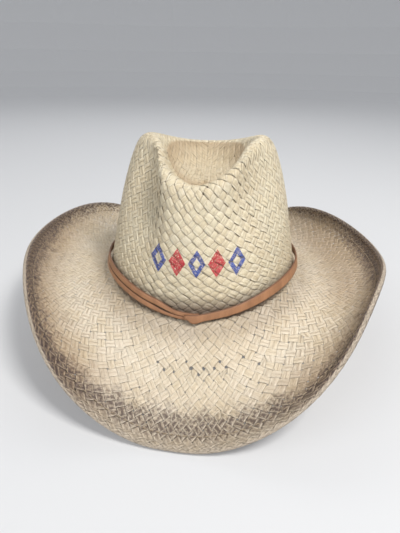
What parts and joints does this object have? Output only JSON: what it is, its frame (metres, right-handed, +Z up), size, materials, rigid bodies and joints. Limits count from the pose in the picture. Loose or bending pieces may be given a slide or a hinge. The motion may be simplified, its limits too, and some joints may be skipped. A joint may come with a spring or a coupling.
{
  "type": "straw western hat",
  "caption": "Straw western hat with a pinched teardrop crown, brim rolled up at the sides and dipped front and back, brown-sprayed edge, and a narrow leather-look band that lifts off.",
  "frame": {"origin": "Under the middle of the hat's bounding box, at the level of the two lowest places of the brim, on which the hat rests.", "axes": "+Z is up through the crown, the front of the hat faces -Y, and the wearer's left is +X."},
  "size_m": [0.3292, 0.386, 0.1655],
  "materials": {
    "straw": "painted woven straw, matt, with small gaps between the strands",
    "stained_straw": "woven straw sprayed mottled brown at the brim's edge",
    "thread": "polyester sewing thread",
    "wire": "spring steel wire, 0.9 mm",
    "ferrule": "pressed aluminium tube",
    "sweatband": "woven cotton band",
    "elastic": "ribbed elastic",
    "binding": "folded cotton tape",
    "label": "blank woven label",
    "hatband": "tan imitation leather, satin"
  },
  "bodies": {
    "hat": {"crown": "straw", "brim": "straw", "brim_hem": "stained_straw", "hem_stitching": "thread", "brim_wire": "wire", "wire_ferrule": "ferrule", "sweatband": "sweatband", "sweatband_elastic": "elastic", "sweatband_binding": "binding", "sweatband_stitching": "thread", "care_label": "label"},
    "hatband": {"hatband_strap": "hatband", "hatband_lower_strand": "hatband"}
  },
  "joints": [
    {"name": "hatband_lift", "type": "slide", "parent": "hat", "child": "hatband", "axis": [0, 0, 1], "range_m": [0, 0.13]}
  ]
}
